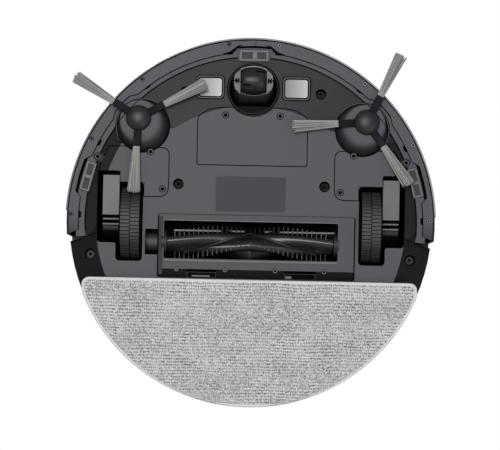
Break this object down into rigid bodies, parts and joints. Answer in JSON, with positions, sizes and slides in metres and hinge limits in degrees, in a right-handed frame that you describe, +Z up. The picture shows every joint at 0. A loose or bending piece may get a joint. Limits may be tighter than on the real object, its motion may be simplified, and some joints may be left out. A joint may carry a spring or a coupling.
{
  "type": "robot vacuum",
  "caption": "Round robot vacuum and mop with sprung drive wheels, a caster, side brushes, a roller brush, a bumper, a laser turret and a rear drawer.",
  "frame": {"origin": "on the floor under the centre of the round body", "axes": "+Z up, -Y towards the bumper and caster, +Y towards the mop and drawer"},
  "size_m": [0.3496, 0.35, 0.094],
  "materials": {
    "housing": "fine spark texture, dark grey",
    "dark_plastic": "satin black",
    "light_plastic": "satin mid grey",
    "grey_plastic": "satin grey",
    "gloss_black": "polished black",
    "label": "blank printed film",
    "contact_metal": "nickel plated, satin",
    "tyre_rubber": "ribbed black rubber",
    "wheel_rubber": "smooth black rubber",
    "bristles": "grey nylon bristles on black rubber",
    "pad_fabric": "looped microfibre, off-white",
    "smoked_plastic": "smoked plastic",
    "circuit_board": "solder mask",
    "battery_wrap": "shrink film"
  },
  "bodies": {
    "chassis": {"bottom_housing": "housing", "top_housing": "housing", "top_cover_plate": "gloss_black", "sensor_ring": "light_plastic", "front_cliff_sensor": "gloss_black", "left_cliff_sensor": "gloss_black", "right_cliff_sensor": "gloss_black", "left_charge_contact": "contact_metal", "right_charge_contact": "contact_metal", "battery_cover": "housing", "battery_pack": "battery_wrap", "caster_socket": "dark_plastic", "left_wheel_cover": "housing", "right_wheel_cover": "housing", "main_board": "circuit_board", "fan_housing": "dark_plastic", "left_side_brush_motor": "grey_plastic", "right_side_brush_motor": "grey_plastic", "main_brush_gearbox": "grey_plastic", "brush_chamber": "dark_plastic", "rating_label": "label", "tank_bay_liner": "dark_plastic", "lidar_base": "dark_plastic", "lidar_cover": "dark_plastic"},
    "bumper": {"bumper_shell": "dark_plastic", "bumper_window": "smoked_plastic"},
    "left_arm": {"left_wheel_arm": "dark_plastic", "left_arm_cover": "grey_plastic"},
    "right_arm": {"right_wheel_arm": "dark_plastic", "right_arm_cover": "grey_plastic"},
    "left_wheel": {"left_tyre": "tyre_rubber", "left_wheel_hub": "grey_plastic"},
    "right_wheel": {"right_tyre": "tyre_rubber", "right_wheel_hub": "grey_plastic"},
    "caster": {"caster_fork": "light_plastic"},
    "caster_roller": {"caster_wheel": "wheel_rubber", "caster_axle": "contact_metal"},
    "left_brush": {"left_side_brush_hub": "gloss_black", "left_side_brush_bristles": "bristles"},
    "right_brush": {"right_side_brush_hub": "gloss_black", "right_side_brush_bristles": "bristles"},
    "main_brush": {"main_brush_core": "gloss_black", "main_brush_sleeve": "bristles"},
    "guard": {"brush_guard": "housing"},
    "left_latch": {"left_guard_latch": "dark_plastic"},
    "right_latch": {"right_guard_latch": "dark_plastic"},
    "fan": {"fan_impeller": "grey_plastic"},
    "lidar": {"lidar_rotor": "smoked_plastic"},
    "power": {"power_button": "light_plastic"},
    "home": {"home_button": "light_plastic"},
    "drawer": {"dust_bin": "smoked_plastic", "bin_lid": "dark_plastic", "bin_filter": "light_plastic", "water_tank": "smoked_plastic", "rear_panel": "housing"},
    "plug": {"tank_plug": "wheel_rubber"},
    "release": {"release_button": "grey_plastic"},
    "mop": {"mop_plate": "dark_plastic", "mop_pad": "pad_fabric"}
  },
  "joints": [
    {"name": "bumper_press", "type": "slide", "parent": "chassis", "child": "bumper", "axis": [0, 1, 0], "range_m": [0, 0.003], "stiffness_N_per_m": 1500, "springref_m": -0.002},
    {"name": "left_wheel_droop", "type": "hinge", "parent": "chassis", "child": "left_arm", "pos_m": [-0.132, -0.038, 0.03], "axis": [-1, 0, 0], "range_deg": [0, 11.5], "stiffness_Nm_per_rad": 0.27, "springref_deg": 60.16},
    {"name": "left_wheel_spin", "type": "hinge", "parent": "left_arm", "child": "left_wheel", "pos_m": [-0.11375, 0.002, 0.034], "axis": [1, 0, 0], "continuous": true},
    {"name": "left_brush_spin", "type": "hinge", "parent": "chassis", "child": "left_brush", "pos_m": [-0.108, -0.0965, 0.0132], "axis": [0, 0, 1], "continuous": true},
    {"name": "right_wheel_droop", "type": "hinge", "parent": "chassis", "child": "right_arm", "pos_m": [0.132, -0.038, 0.03], "axis": [-1, 0, 0], "range_deg": [0, 11.5], "stiffness_Nm_per_rad": 0.27, "springref_deg": 60.16},
    {"name": "right_wheel_spin", "type": "hinge", "parent": "right_arm", "child": "right_wheel", "pos_m": [0.11375, 0.002, 0.034], "axis": [1, 0, 0], "continuous": true},
    {"name": "right_brush_spin", "type": "hinge", "parent": "chassis", "child": "right_brush", "pos_m": [0.108, -0.0965, 0.0132], "axis": [0, 0, 1], "continuous": true},
    {"name": "caster_swivel", "type": "hinge", "parent": "chassis", "child": "caster", "pos_m": [0, -0.126, 0.03], "axis": [0, 0, 1], "continuous": true},
    {"name": "caster_roll", "type": "hinge", "parent": "caster", "child": "caster_roller", "pos_m": [0, -0.134, 0.0132], "axis": [1, 0, 0], "continuous": true},
    {"name": "main_brush_spin", "type": "hinge", "parent": "chassis", "child": "main_brush", "pos_m": [0, 0.0203, 0.019], "axis": [1, 0, 0], "continuous": true},
    {"name": "guard_hinge", "type": "hinge", "parent": "chassis", "child": "guard", "pos_m": [0, -0.006, 0.0088], "axis": [-1, 0, 0], "range_deg": [0, 110]},
    {"name": "left_latch_press", "type": "slide", "parent": "guard", "child": "left_latch", "axis": [0, -1, 0], "range_m": [0, 0.002], "stiffness_N_per_m": 800, "springref_m": -0.001},
    {"name": "right_latch_press", "type": "slide", "parent": "guard", "child": "right_latch", "axis": [0, -1, 0], "range_m": [0, 0.002], "stiffness_N_per_m": 800, "springref_m": -0.001},
    {"name": "fan_spin", "type": "hinge", "parent": "chassis", "child": "fan", "pos_m": [0.04, 0.027, 0.05], "axis": [0, 0, 1], "continuous": true},
    {"name": "lidar_spin", "type": "hinge", "parent": "chassis", "child": "lidar", "pos_m": [0, 0.055, 0.08], "axis": [0, 0, 1], "continuous": true},
    {"name": "power_press", "type": "slide", "parent": "chassis", "child": "power", "axis": [0, 0, -1], "range_m": [0, 0.001], "stiffness_N_per_m": 600, "springref_m": -0.001},
    {"name": "home_press", "type": "slide", "parent": "chassis", "child": "home", "axis": [0, 0, -1], "range_m": [0, 0.001], "stiffness_N_per_m": 600, "springref_m": -0.001},
    {"name": "drawer_slide", "type": "slide", "parent": "chassis", "child": "drawer", "axis": [0, 1, 0], "range_m": [0, 0.12]},
    {"name": "plug_hinge", "type": "hinge", "parent": "drawer", "child": "plug", "pos_m": [0, 0.1735, 0.026], "axis": [-1, 0, 0], "range_deg": [0, 100]},
    {"name": "release_press", "type": "slide", "parent": "drawer", "child": "release", "axis": [0, -1, 0], "range_m": [0, 0.0015], "stiffness_N_per_m": 500, "springref_m": -0.001},
    {"name": "mop_slide", "type": "slide", "parent": "chassis", "child": "mop", "axis": [0, 1, 0], "range_m": [0, 0.12]}
  ]
}
